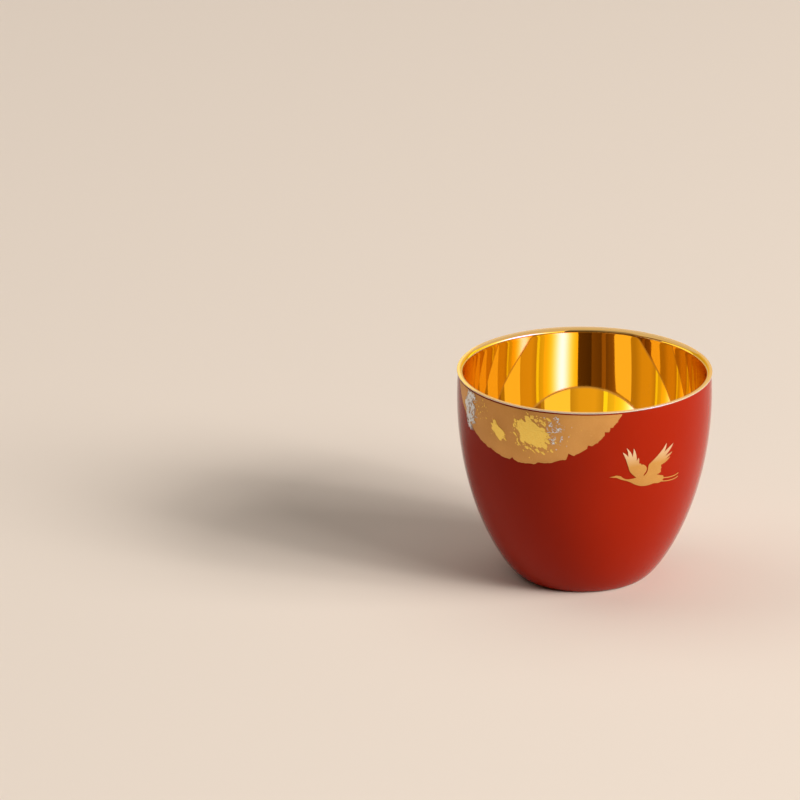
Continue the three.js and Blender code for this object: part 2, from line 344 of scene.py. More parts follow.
def powder(name, dark, light, speck, highlight_from=None, highlight_to=None):
    """Satin gold. Between two heights, in millimetres, it turns paler if they are given: a painted
    highlight.
    """
    material, tree, shader, place = new_material(name)
    dust = grain(tree, place, 5200, detail=2, roughness=0.8)
    drift = grain(tree, place, 70, detail=2)
    body = blend_colours(tree, spread(tree, drift, 0.35, 0.65, 0, 1), dark, light)
    if highlight_from:
        height = node(tree, "ShaderNodeSeparateXYZ", {"Vector": place}).outputs["Z"]
        paler = spread(tree, height, highlight_from * MM, highlight_to * MM, 0, 1)
        body = blend_colours(tree, paler, body, highlight_gold)
    sparkle = spread(tree, dust, 0.58, 0.72, 0, 0.6)
    set_inputs(tree, shader, {
        "Base Color": blend_colours(tree, sparkle, body, speck),
        "Roughness": spread(tree, dust, 0.3, 0.7, 0.36, 0.52),
        "Normal": bump(tree, dust, 0.00003, 0.5),
        "Metallic": 0.55,
    })
    return material


moon_gold = powder("moon gold powder", colour(0.60, 0.285, 0.070), colour(0.70, 0.345, 0.09),
                   colour(0.98, 0.66, 0.26))
# The crane's upper feathers, from 50.5 to 59 mm up the cup, turn paler: a painted highlight.
crane_gold = powder("crane gold powder", colour(0.59, 0.283, 0.060), colour(0.67, 0.345, 0.075),
                    colour(0.95, 0.62, 0.25), highlight_from=50.5, highlight_to=59.0)


# %% Wrinkled gold and silver leaf
def leaf_material(name, shade, light, roughness):
    material, tree, shader, place = new_material(name)
    cells = node(tree, "ShaderNodeTexVoronoi", {"Vector": place, "Scale": 1500.0}, feature="F1")
    folds = grain(tree, place, 2600, detail=4, roughness=0.6)
    wrinkled = bump(tree, cells.outputs["Distance"], 0.00012, 0.5)
    set_inputs(tree, shader, {
        "Base Color": blend_colours(tree, folds, shade, light),
        "Normal": bump(tree, folds, 0.00008, 0.5, wrinkled),
        "Metallic": 0.9,
        "Roughness": roughness,
    })
    return material


gold_leaf = leaf_material("gold leaf", colour(0.96, 0.58, 0.08), colour(1.0, 0.80, 0.21), 0.34)
silver_leaf = leaf_material("silver leaf", colour(0.50, 0.53, 0.57), colour(0.97, 0.98, 1.0), 0.28)

# %% [markdown]
# ## Turned pieces
# Everything round on the cup is turned: its outline, spun about the axis. A Screw or
# Spin would do, but a small Geometry Nodes tree makes all six pieces from one recipe.
# The outline is swept round a guide circle, which is the same as spinning it, and the
# points that meet on the axis are merged so that floors and discs are closed. A sweep
# lays a profile's Y axis downwards along the circle, so heights are drawn negative.

# %% The lathe, as a node tree
lathe, given = geometry_tree("Lathe", Guide_Radius="Float", Steps="Int", Finish="Material")
outline = node(lathe, "GeometryNodeMeshToCurve", {0: given["Geometry"]})
guide = node(lathe, "GeometryNodeCurvePrimitiveCircle",
             {"Resolution": given["Steps"], "Radius": given["Guide Radius"]})
swept = node(lathe, "GeometryNodeCurveToMesh",
             {"Curve": guide.outputs[0], "Profile Curve": outline.outputs[0]})
joined = node(lathe, "GeometryNodeMergeByDistance", {"Geometry": swept.outputs[0], "Distance": 1e-6})
finish_tree(lathe, joined.outputs[0], given["Finish"])


def turned(name, points, finish, closed=True, steps=240):
    """Spins an outline of (radius, height) points, in millimetres, round the cup's axis."""
    guide_radius = 40.0
    drawn = [((x - guide_radius) * MM, -y * MM, 0) for x, y in points]
    edges = [(i, i + 1) for i in range(len(drawn) - 1)]
    if closed:
        edges.append((len(drawn) - 1, 0))
    piece = mesh_object(name, drawn, edges, [])
    run_tree(piece, lathe, Guide_Radius=guide_radius * MM, Steps=steps, Finish=finish)
    tidy_normals(piece)
    return piece


# %% [markdown]
# ## The lacquer and the outer shell
# The lacquer is its own thin coat. It stops a little above the foot, where the steel
# ring the cup stands on is left bare, and just under the lip, where the gap shows as
# a fine dark line. Its two ends are drawn in, as liquid lacquer draws back from an edge.

# %% Coat and shell
coat_steps = 90
coat_outside = body_line(lambda share: 0, bare_foot, coat_top, coat_steps)
coat_inside = body_line(lambda share: lacquer, bare_foot, coat_top, coat_steps)
coat_outside[0] = coat_outside[0].lerp(coat_inside[0], 0.35)
coat_outside[-1] = coat_outside[-1].lerp(coat_inside[-1], 0.35)
lacquer_piece = turned("red_lacquer_coat", coat_outside + coat_inside[::-1], red_lacquer)

shell_out = lacquer + joint_gap
shell_in = shell_out + steel
shell_top = lip_underside - shell_drop
shell_outside = body_line(lambda share: shell_out, body_point(0, shell_out).y, shell_top, 60)
shell_inside = body_line(lambda share: shell_in, body_point(0, shell_in).y, shell_top, 60)
foot_edge = shell_outside[0].x
inner_chamfer, outer_chamfer = 0.12, 0.1
foot_ring = [
    Vector((foot_opening, shell_inside[0].y)),
    Vector((foot_opening, inner_chamfer)),
    Vector((foot_opening + inner_chamfer, 0)),
    Vector((foot_edge - outer_chamfer, 0)),
    Vector((foot_edge, outer_chamfer)),
]
shell_line = shell_outside + shell_inside[::-1] + foot_ring
shell_piece = turned("steel_outer_shell", shell_line, bare_steel, steps=160)
print("foot ring:", round(foot_edge - foot_opening, 2), "mm wide")

# %% [markdown]
# ## The gilded inner shell
# The inside is a mirror, and a mirror shows every fault in its mesh. So its outline
# has many points, and the floor meets the wall in a smooth curve. At the top the sheet
# is rolled outwards over both walls. The back of the wall is the same line half a
# millimetre further out, and it runs round the roll beside it.

# %% Inner shell with its rolled lip
def quarter_round(centre, rounding, start, end, steps=8):
    angles = [math.radians(start + (end - start) * i / steps) for i in range(steps + 1)]
    return [centre + rounding * Vector((math.cos(angle), math.sin(angle))) for angle in angles]


def moved_aside(line, distance):
    """The same line moved to the right of its direction."""
    moved = []
    for i, at in enumerate(line):
        along = (line[min(i + 1, len(line) - 1)] - line[max(i - 1, 0)]).normalized()
        moved.append(at + Vector((along.y, -along.x)) * distance)
    return moved


def quadratic(a, b, c, steps):
    shares = [i / steps for i in range(steps + 1)]
    return [a * (1 - s) ** 2 + b * 2 * s * (1 - s) + c * s ** 2 for s in shares]


corner_share = share_at(floor_height, gilded_depth)
corner = body_point(corner_share, gilded_depth(corner_share))
wall = body_line(gilded_depth, floor_height + 0.6 * floor_fillet, cup_height - lip_roll, 110)
floor_middle, floor_end = Vector((0, floor_height)), Vector((corner.x - floor_fillet, floor_height))
fillet = quadratic(floor_end, corner, wall[0], 24)
floor_line = [floor_end * s + floor_middle * (1 - s) for s in (0, 0.25, 0.5, 0.75)]
gilded_line = floor_line + fillet + wall[1:]
inner_mouth = gilded_line[-1].x
roll_middle = Vector((inner_mouth + lip_roll, cup_height - lip_roll))
lip_edge = lip_radius - lip_rounding
lip_line = (
    quarter_round(roll_middle, lip_roll, 180, 90, 16)
    + quarter_round(Vector((lip_edge, cup_height - lip_rounding)), lip_rounding, 90, 0, 6)
    + quarter_round(Vector((lip_edge, lip_underside + lip_rounding)), lip_rounding, 0, -90, 6)
    + quarter_round(roll_middle, lip_roll - steel, 90, 180, 12)
)
back_line = moved_aside(gilded_line, steel)
back_line[0].x = 0
sheet = gilded_line[:-1] + lip_line + back_line[-2::-1]
gilded_piece = turned("gilded_inner_shell", sheet, gilding, closed=False, steps=256)
print("mouth:", round(2 * inner_mouth, 1), "mm inside the lip")

# %% [markdown]
# ## The base
# Under the cup a pressed steel plate closes the gap. A raised bead stiffens it. In
# its middle is the port through which the air was drawn out, stopped with a bead of
# dark sealing glass. Above the plate lies the getter, a pellet that binds the last
# gas. Rounded corners on the pressed steps catch the light as real sheet does.

# %% Base plate
base_recess, bead_radius, bead_width, bead_rise = 1.2, 13.0, 2.4, 0.6
port_radius, port_rise, port_slope, port_hole = 3.0, 0.9, 0.8, 0.9
press_rounding, skirt_clearance, skirt_rounding = 0.2, 0.15, 0.25


def eased(height_low, height_high, radius_low, radius_high, steps=8):
    """A pressed step in sheet: a smooth rise from one radius to another."""
    made = []
    for i in range(steps + 1):
        share = i / steps
        rise = share * share * (3 - 2 * share)
        made.append(Vector((radius_low + (radius_high - radius_low) * share,
                            height_low + (height_high - height_low) * rise)))
    return made


plate_edge = foot_opening - joint_gap
plate_line = (
    [Vector((port_hole, port_rise))]
    + eased(port_rise, 0, port_radius - press_rounding, port_radius + port_slope)
    + eased(0, bead_rise, bead_radius - bead_width / 2, bead_radius - press_rounding)
    + eased(bead_rise, 0, bead_radius + press_rounding, bead_radius + bead_width / 2)
)
under = [point + Vector((0, base_recess)) for point in plate_line]
above = [point + Vector((0, steel)) for point in under]
skirt = [
    Vector((plate_edge - steel, base_recess)),
    Vector((plate_edge - steel, skirt_clearance)),
    Vector((plate_edge, skirt_clearance)),
    Vector((plate_edge, base_recess + skirt_rounding)),
    Vector((plate_edge - skirt_rounding, base_recess + steel)),
]
plate_piece = turned("pressed_base_plate", under + skirt + above[::-1], bare_steel, steps=120)

# %% Sealed port and getter
seal_radius, seal_height, seal_rounding = 2.7, 0.7, 0.35
seal_top = base_recess + port_rise - joint_gap
seal_low = seal_top - seal_height
seal_corner = Vector((seal_radius - seal_rounding, seal_low + seal_rounding))
seal_line = [Vector((0, seal_low))] + quarter_round(seal_corner, seal_rounding, -90, 0, 5)
seal_line += [Vector((seal_radius, seal_top)), Vector((0, seal_top))]
seal_piece = turned("port_seal_bead", seal_line, seal_glass, closed=False, steps=64)

getter_radius, getter_height, getter_chamfer, getter_reach = 2.6, 1.1, 0.2, 6.6
getter_low = base_recess + steel + joint_gap
getter_top = getter_low + getter_height
pellet = [
    Vector((0, getter_low)),
    Vector((getter_radius - getter_chamfer, getter_low)),
    Vector((getter_radius, getter_low + getter_chamfer)),
    Vector((getter_radius, getter_top - getter_chamfer)),
    Vector((getter_radius - getter_chamfer, getter_top)),
    Vector((0, getter_top)),
]
getter_piece = turned("getter_pellet", pellet, getter_alloy, closed=False, steps=48)
for vertex in getter_piece.data.vertices:
    vertex.co.x += getter_reach * MM

# %% [markdown]
# ## Laying a flat drawing on the cup
# The gold picture is drawn flat, in arc lengths round the cup and heights, and then
# laid on the lacquer. Shrinkwrap could do it, but it pulls points by the nearest way
# and squeezes a drawing on a curved wall. This tree turns each point's arc length
# into an angle, looks from outside towards the axis until it meets the lacquer, and
# sets the point that far off along the lacquer's smooth normal. The drawing has a
# lower and an upper layer, so it becomes a film with a thickness.

# %% The wrapping tree
wrap_radius = mouth_radius
gold_gap, gold_thickness = 0.06, 0.08
leaf_gap, leaf_thickness = 0.04, 0.05

wrapping, given = geometry_tree("Lay On Lacquer", Lacquer="Object", Wrap_Radius="Float", Gap="Float",
                                Thickness="Float", Finish="Material")
drawn = node(wrapping, "ShaderNodeSeparateXYZ",
             {"Vector": node(wrapping, "GeometryNodeInputPosition").outputs[0]}).outputs
turn = math_node(wrapping, "DIVIDE", drawn["X"], given["Wrap Radius"])
sideways, forwards = math_node(wrapping, "SINE", turn), math_node(wrapping, "COSINE", turn)
inwards = node(wrapping, "ShaderNodeCombineXYZ",
               {"X": math_node(wrapping, "MULTIPLY", sideways, -1.0), "Y": forwards, "Z": 0.0}).outputs[0]
standing_off = 0.1
start = node(wrapping, "ShaderNodeCombineXYZ",
             {"X": math_node(wrapping, "MULTIPLY", sideways, standing_off),
              "Y": math_node(wrapping, "MULTIPLY", forwards, -standing_off), "Z": drawn["Y"]}).outputs[0]
coat = node(wrapping, "GeometryNodeObjectInfo", {"Object": given["Lacquer"]}, transform_space="RELATIVE")
smooth = node(wrapping, "GeometryNodeInputNormal").outputs[0]
look = node(wrapping, "GeometryNodeRaycast",
            {"Target Geometry": coat.outputs["Geometry"], "Attribute": smooth, "Source Position": start,
             "Ray Direction": inwards, "Ray Length": 0.1},
            data_type="FLOAT_VECTOR", mapping="INTERPOLATED")
off = math_node(wrapping, "MULTIPLY_ADD", drawn["Z"], given["Thickness"], given["Gap"])
lift = node(wrapping, "ShaderNodeVectorMath", {0: look.outputs["Attribute"], "Scale": off},
            operation="SCALE")
landed = node(wrapping, "ShaderNodeVectorMath", {0: look.outputs["Hit Position"], 1: lift.outputs[0]})
moved = node(wrapping, "GeometryNodeSetPosition",
             {"Geometry": given["Geometry"], "Position": landed.outputs[0]})
finish_tree(wrapping, moved.outputs[0], given["Finish"])


def film(name, points, faces, gap, thickness, finish, relief=None):
    """Makes a closed film on the lacquer from flat points and faces in millimetres."""
    count = len(points)
    lower = [(x * MM, y * MM, 0.0) for x, y in points]
    upper = [(x * MM, y * MM, 1.0 + (relief(x, y) if relief else 0.0)) for x, y in points]
    sides = dict.fromkeys(side for face in faces for side in zip(face, face[1:] + face[:1]))
    walls = [(a, b, b + count, a + count) for a, b in sides if (b, a) not in sides]
    bottoms = [tuple(reversed(face)) for face in faces]
    tops = [tuple(i + count for i in face) for face in faces]
    piece = mesh_object(name, lower + upper, [], bottoms + tops + walls)
    run_tree(piece, wrapping, Lacquer=lacquer_piece, Wrap_Radius=wrap_radius * MM, Gap=gap * MM,
             Thickness=thickness * MM, Finish=finish)
    tidy_normals(piece, 50)
    return piece


# %% [markdown]
# ## Filling an outline with even triangles
# A film that bends round the cup needs points all over it, not only at its edge. The
# outlines go into a constrained Delaunay triangulation together with a grid of points,
# and the triangles that lie inside any outline are kept. Overlapping outlines melt
# into one shape this way, which is how the crane's feathers join its wings.

# %% Filling outlines
def anticlockwise(line):
    turning = sum(a.x * b.y - b.x * a.y for a, b in zip(line, line[1:] + line[:1]))
    return line if turning > 0 else line[::-1]


def filled(outlines, spacing):
    """Points and faces inside the outlines, with a grid of even triangles between them."""
    triangle_height = 0.866
    points, drawn = [], []
    for line in outlines:
        drawn.append(list(range(len(points), len(points) + len(line))))
        points += [Vector(p) for p in anticlockwise(line)]
    low_x, high_x = min(p.x for p in points), max(p.x for p in points)
    low_y, high_y = min(p.y for p in points), max(p.y for p in points)
    rows = int((high_y - low_y) / (spacing * triangle_height))
    columns = int((high_x - low_x) / spacing)
    for row in range(1, rows):
        for column in range(1, columns):
            shift = 0.5 * (row % 2)
            across = low_x + (column + shift) * spacing
            points.append(Vector((across, low_y + row * spacing * triangle_height)))
    made, _, faces, _, _, inside_of = delaunay_2d_cdt(points, [], drawn, 0, 1e-5, True)
    faces = [face for face, outlines_here in zip(faces, inside_of) if outlines_here]
    used = sorted({i for face in faces for i in face})
    place = {old: new for new, old in enumerate(used)}
    return [tuple(made[i]) for i in used], [tuple(place[i] for i in face) for face in faces]


# %% [markdown]
# ## The moon
# The moon is a disc whose middle lies above the lip, so the lip cuts it off. Its edge
# is torn like hand-made paper: long shallow bites with small ones on top, from noise
# that is the same at every run, and a few deeper nicks that are listed. A nick has
# a place and a half width in degrees round the moon, and a depth in millimetres.

# %% The moon's torn edge
moon_radius, moon_left, moon_rise = 41.0, 23.0, 21.7
moon_middle = Vector((-moon_left, cup_height + moon_rise))
nicks = [
    (-107, 1.2, 0.5), (-94, 1.5, 0.8), (-80, 2.0, 0.5), (-65, 2.0, 1.5),
    (-55, 1.3, 0.8), (-45, 1.2, 0.9), (-42, 1.2, 0.6),
]


def torn(angle):
    """How far the edge stands back at an angle round the moon, with a nick where a fibre tore."""
    at = Vector((math.cos(angle), math.sin(angle), 0)) * moon_radius
    slow = noise.noise(at * 0.22) * 0.35
    quick = noise.noise(at * 0.9 + Vector((7, 3, 1))) * 0.30
    fine = noise.noise(at * 3.1) * 0.12
    bite = 0.0
    for where, width, depth in nicks:
        aside = abs(math.degrees(angle) - where) / width
        bite = max(bite, depth * (1 - aside))
    return slow + quick + fine - bite


# %% The moon under the lip
cut = coat_top - bare_lacquer
half_angle = math.acos((moon_middle.y - cut) / moon_radius)
edge_steps = 520
moon_edge = []
for i in range(edge_steps + 1):
    angle = -math.pi / 2 - half_angle + 2 * half_angle * i / edge_steps
    reach = moon_radius + torn(angle)
    at = moon_middle + reach * Vector((math.cos(angle), math.sin(angle)))
    moon_edge.append(Vector((at.x, min(at.y, cut))))
lid_steps = 120
left_end, right_end = moon_edge[0], moon_edge[-1]
moon_edge += [right_end.lerp(left_end, i / lid_steps) for i in range(1, lid_steps)]
points, faces = filled([moon_edge], 0.7)
moon_piece = film("gold_moon_film", points, faces, gold_gap, gold_thickness, moon_gold)

# %% [markdown]
# ## Leaf
# Leaf tears into a firm middle and loose angular chips round it. Voronoi cells give
# such chips: a cell is kept or lost as a whole, by chance and by its distance from the
# middle, and the cracks between cells widen outwards. The cells are drawn out along one
# direction, in which the leaf was brushed on. Silver leaf is thinner and shows as
# wrinkled veins. The field is cut into small squares, and each square keeps the part
# where the field is above zero, so that the edges are clean.

# %% Islands of a field
def islands(field, left, right, low, high, step):
    """Points and faces of the region where field(x, y) is above zero."""
    columns, rows = int((right - left) / step), int((high - low) / step)
    crossings = [(i, j) for i in range(columns + 1) for j in range(rows + 1)]
    value = {(i, j): field(left + i * step, low + j * step) for i, j in crossings}
    points, faces, known = [], [], {}

    def keep(key, x, y):
        if key not in known:
            known[key] = len(points)
            points.append((x, y))
        return known[key]

    for i in range(columns):
        for j in range(rows):
            square = [(i, j), (i + 1, j), (i + 1, j + 1), (i, j + 1)]
            face = []
            for here, after in zip(square, square[1:] + square[:1]):
                a, b = value[here], value[after]
                if a > 0:
                    face.append(keep(here, left + here[0] * step, low + here[1] * step))
                if (a > 0) != (b > 0):
                    share = min(max(a / (a - b), 0.02), 0.98)
                    x = left + (here[0] + (after[0] - here[0]) * share) * step
                    y = low + (here[1] + (after[1] - here[1]) * share) * step
                    face.append(keep(tuple(sorted((here, after))), x, y))
            if len(face) > 2:
                faces.append(tuple(face))
    return points, faces


# %% Fields for torn leaf
def crumbled(middle, half_length, half_width, lean, seed, finest=1.3):
    """A field for leaf round a middle: angular chips that part more and more towards its border.
    The flake leans downwards to the right by an angle."""
    down, up = Vector((math.cos(lean), -math.sin(lean))), Vector((math.sin(lean), math.cos(lean)))
    slant = Vector((0.77, -0.64))
    across = Vector((-slant.y, slant.x))
    longer, chance, loosening, firm = 2.4, 0.7, 0.30, 0.65

    def field(x, y):
        at = Vector((x, y))
        drawn = Vector((at.dot(slant) * finest / longer, at.dot(across) * finest, seed))
        gaps, homes = noise.voronoi(drawn)
        home = slant * homes[0].x * longer / finest + across * homes[0].y / finest
        offset = home - middle
        far = math.hypot(offset.dot(down) / half_length, offset.dot(up) / half_width)
        luck = noise.noise(homes[0] * 4.3 + Vector((3, 1, 7)))
        kept = 0.92 - far + luck * chance
        crack = gaps[1] - gaps[0] - loosening * max(0.0, far - firm)
        return min(kept, crack)
    return field


def veined(middle, half_width, half_height, seed, cover=0.18):
    """A field for thin silver leaf: narrow wrinkles that fade towards its border."""
    def field(x, y):
        at = Vector((x * 1.2 + y * 0.4, y - x * 0.3, seed))
        far = math.hypot((x - middle[0]) / half_width, (y - middle[1]) / half_height)
        wrinkle = abs(noise.noise(at * 1.1)) + 0.5 * abs(noise.noise(at * 2.9))
        patch = noise.noise(at * 0.5 + Vector((5, 5, 5))) * 0.35
        return cover - wrinkle + patch - max(0.0, far - 0.7) * 0.8
    return field


# %% Two gold flakes and two silver ones
def crumple(x, y):
    """How far wrinkled leaf stands up at a place, in shares of its thickness."""
    return 0.5 + noise.noise(Vector((x, y, 1)) * 2.2) * 0.9 + noise.noise(Vector((x, y, 5)) * 5.5) * 0.5


leaf_start = gold_gap + gold_thickness + leaf_gap


def leaf(name, field, middle, reach, finish, step=0.16):
    low, top = middle.y - reach[1], min(middle.y + reach[1], cut)
    points, faces = islands(field, middle.x - reach[0], middle.x + reach[0], low, top, step)
    return film(name, points, faces, leaf_start, leaf_thickness, finish, crumple)


large_at = Vector((-18.4, cup_height - 8.5))
small_at = Vector((-31.6, cup_height - 10.1))
right_at = Vector((-10.6, cup_height - 7.0))
left_at = Vector((-46.3, cup_height - 6.6))
large_field = crumbled(large_at, 6.6, 5.6, 0.9, 3)
small_field = crumbled(small_at, 3.4, 2.3, 0.6, 8, finest=1.4)
right_field = veined(right_at, 3.4, 6.0, 12)
left_field = veined(left_at, 3.2, 6.4, 21, cover=0.46)
large_leaf = leaf("gold_leaf_large_flake", large_field, large_at, (9, 8), gold_leaf)
small_leaf = leaf("gold_leaf_small_flake", small_field, small_at, (5, 4), gold_leaf)
right_silver = leaf("silver_leaf_right_veins", right_field, right_at, (5.7, 8), silver_leaf)
left_silver = leaf("silver_leaf_left_veins", left_field, left_at, (4.6, 8), silver_leaf)

# %% [markdown]
# ## The crane
# A crane in flight is one of the oldest ornaments on lacquer. It is drawn here in
# hundredths of its length from a few curves: a body with neck and beak, two wings that
# each end in four long feathers, and trailing legs.

# %% Drawing with straight lines and curves
def bezier(a, b, c, d, steps=10):
    made = []
    for i in range(1, steps + 1):
        s = i / steps
        r = 1 - s
        made.append(a * r ** 3 + b * 3 * r * r * s + c * 3 * r * s * s + d * s ** 3)
    return made


def outline_of(start, *pieces):
    """An outline from a start point: a piece of 2 numbers is a straight line, of 6 a curve."""
    line = [Vector(start)]
    for piece in pieces:
        ends = [Vector(piece[i:i + 2]) for i in range(0, len(piece), 2)]
        if len(ends) == 1:
            line.append(ends[0])
        else:
            line += bezier(line[-1], *ends)
    return line


def leg(rise):
    line = quadratic(Vector((21, rise)), Vector((41, rise - 4.6)), Vector((50.2, rise - 0.8)), 14)
    return moved_aside(line, 0.6) + moved_aside(line, -0.6)[::-1]


# %% Body and wings
body = outline_of(
    (-50, 8.4), (-43.6, 9.4), (-42.4, 10.4, -40.6, 10.2, -39.2, 9.3), (-37.4, 9.4, -35.6, 8.6, -34, 6.9),
    (-32.2, 5.1, -29.8, 3.8, -26.4, 3.5), (-23, 3.2, -19.4, 3.5, -15, 4.3), (-8, 5.4, 6, 5.4, 13, 3.5),
    (19.8, 0.9), (23.6, -0.4), (24.4, -2.6), (22.6, -3.4), (25, -4.6), (23, -5.6), (24.6, -7.4),
    (20.6, -8.2), (16.8, -9), (13, -8.2, 10.4, -7.6, 8, -8), (4, -9, -2, -9.2, -7, -8.3),
    (-13, -7, -18, -4.3, -22, -1.5), (-26, 0.9, -30, 2.3, -34, 3.7),
    (-37, 4.7, -39.6, 6.4, -41.6, 7.3), (-44.4, 7.6),
)
far_wing = outline_of(
    (-12, 1), (-17, 6, -23.4, 10.4, -25.2, 15), (-26.6, 19, -28.8, 26.4, -30.9, 31.5),
    (-32, 34.2, -33.2, 36.6, -34.6, 39.6), (-31.6, 38.2, -28.9, 35.6, -27.4, 33),
    (-27.2, 37, -28.2, 41, -29.8, 44.8), (-26.2, 41.8, -22.9, 37, -21.9, 32),
    (-21.3, 35.6, -20.9, 39.4, -20.7, 43.2), (-18, 39, -16.3, 32.6, -16.3, 25.8),
    (-15.7, 27.2, -14.9, 28.8, -13.8, 30.2), (-13, 28, -12.9, 25, -13.2, 22.5),
    (-12.4, 22.8, -11.4, 22.6, -10.6, 21.9), (-10, 21.3, -9.8, 20.9, -9.5, 20.2),
    (-8.6, 20.6, -7.2, 20.4, -6.2, 19.7), (-5, 18.9, -2.9, 17.6, -2.2, 15.4),
    (-1.7, 13.4, -2.1, 11.4, -3, 10), (-4, 8.8, -5, 8, -5.6, 6.3), (-6, 0),
)
near_wing = outline_of(
    (-5, 0), (-4.5, 5.7), (-2.6, 7, -0.8, 9, -0.4, 12), (-0.1, 14, -0.2, 16.4, 0.6, 19),
    (7, 24, 15, 30, 19.4, 34.8), (21.6, 37.2, 23.4, 39.6, 25.2, 42), (25.2, 38, 23.8, 34, 22, 30.4),
    (26.4, 34.2, 31.6, 36.4, 36, 39.4), (33.6, 34, 29, 29.6, 24, 24.9),
    (27.6, 26.6, 31.4, 27.3, 35.2, 28.8), (32.2, 24.6, 28.2, 22.6, 23.8, 20.9),
    (26.6, 21.6, 29.4, 22, 32.2, 22.7), (29.4, 18.8, 24.6, 16.6, 19.4, 15.2),
    (18, 14.4, 18.6, 12.6, 19.8, 11.4), (18.5, 10.2, 18.4, 8.2, 19.5, 6.2),
    (19, 4.6, 16.4, 3.9, 13, 3.6), (12, 0),
)

# %% The crane on the lacquer
crane_length, crane_right, crane_drop = 27.0, 20.7, 24.9
crane_drawing = [body, far_wing, near_wing, leg(-2.8), leg(-7.3)]
unit = crane_length / 100
middle = Vector((crane_right, cup_height - crane_drop))
points, faces = filled([[middle + p * unit for p in line] for line in crane_drawing], 0.3)
crane_piece = film("gold_crane_film", points, faces, gold_gap, gold_thickness, crane_gold)

# %% [markdown]
# ## Crumbs of leaf
# Small flecks lie round the leaf. Geometry Nodes scatter them over the moon: random
# points where a named middle is near, a tiny five-sided chip on each, turned to the
# surface and scaled at random, with a fixed seed.

# %% The scattering tree
scatter, given = geometry_tree("Leaf Crumbs", Middle="Vector", Reach="Float", Density="Float",
                               Chip="Float", Seed="Int", Finish="Material")
here = node(scatter, "GeometryNodeInputPosition").outputs[0]
facing = node(scatter, "GeometryNodeInputNormal").outputs[0]
outward = node(scatter, "ShaderNodeVectorMath", {0: here, 1: facing},
               operation="DOT_PRODUCT").outputs["Value"]
on_top = node(scatter, "FunctionNodeCompare", {"A": outward, "B": 0.0}, data_type="FLOAT",
              operation="GREATER_THAN")
away = node(scatter, "ShaderNodeVectorMath", {0: here, 1: given["Middle"]},
            operation="DISTANCE").outputs["Value"]
near = node(scatter, "ShaderNodeMapRange", {"Value": away, "From Min": 0.0, "From Max": given["Reach"],
                                            "To Min": given["Density"], "To Max": 0.0}).outputs[0]
spots = node(scatter, "GeometryNodeDistributePointsOnFaces",
             {"Mesh": given["Geometry"], "Selection": on_top.outputs[0], "Density": near,
              "Seed": given["Seed"]})
chip = node(scatter, "GeometryNodeMeshCylinder", {"Vertices": 5, "Radius": 1.0, "Depth": 0.3})
smallest, largest = (0.35, 0.25, 0.3), (1.5, 0.8, 0.5)
size = node(scatter, "FunctionNodeRandomValue", {"Min": smallest, "Max": largest, "Seed": 5},
            data_type="FLOAT_VECTOR").outputs[0]
scaled = node(scatter, "ShaderNodeVectorMath", {0: size, "Scale": given["Chip"]},
              operation="SCALE").outputs[0]
full_turn = 6.283
spun = node(scatter, "FunctionNodeRandomValue", {2: 0.0, 3: full_turn, "Seed": 9},
            data_type="FLOAT").outputs[1]
turned_chip = node(scatter, "FunctionNodeRotateRotation",
                   {"Rotation": spots.outputs["Rotation"],
                    "Rotate By": node(scatter, "ShaderNodeCombineXYZ", {"Z": spun}).outputs[0]},
                   rotation_space="LOCAL")
chips = node(scatter, "GeometryNodeInstanceOnPoints",
             {"Points": spots.outputs["Points"], "Instance": chip.outputs["Mesh"],
              "Rotation": turned_chip.outputs[0], "Scale": scaled})
finish_tree(scatter, chips.outputs[0], given["Finish"])

# %% Crumbs round each flake
crumb_gap = 0.02


def crumbs(name, middle, reach, density, chip_size, seed, finish):
    """Crumbs round a middle on the moon, with a density in crumbs per square millimetre."""
    angle = middle.x / wrap_radius
    at = body_point(share_at(middle.y, lambda share: 0), 0)
    spot = Vector((at.x * math.sin(angle), -at.x * math.cos(angle), at.y)) * MM
    piece = link_object(name, moon_piece.data.copy())
    run_tree(piece, scatter, Middle=spot, Reach=reach * MM, Density=density * 1e6, Chip=chip_size * MM,
             Seed=seed, Finish=finish)
    push = (leaf_start - gold_gap - gold_thickness + crumb_gap) * MM
    for vertex in piece.data.vertices:
        vertex.co += Vector((vertex.co.x, vertex.co.y, 0)).normalized() * push
    tidy_normals(piece, 20)
    return piece


gold_crumbs = [
    crumbs("gold_crumbs_large", large_at, 9.5, 0.9, 0.34, 4, gold_leaf),
    crumbs("gold_crumbs_small", small_at, 5.0, 0.5, 0.26, 7, gold_leaf),
    crumbs("gold_crumbs_upper", Vector((-40.0, cup_height - 4.6)), 4.5, 0.8, 0.28, 2, gold_leaf),
    crumbs("gold_crumbs_far", Vector((-4.0, cup_height - 8.1)), 8.0, 0.06, 0.22, 11, gold_leaf),
]
silver_crumbs = [
    crumbs("silver_crumbs_right", right_at, 7.0, 0.5, 0.24, 6, silver_leaf),
    crumbs("silver_crumbs_left", left_at, 6.0, 0.5, 0.22, 3, silver_leaf),
]
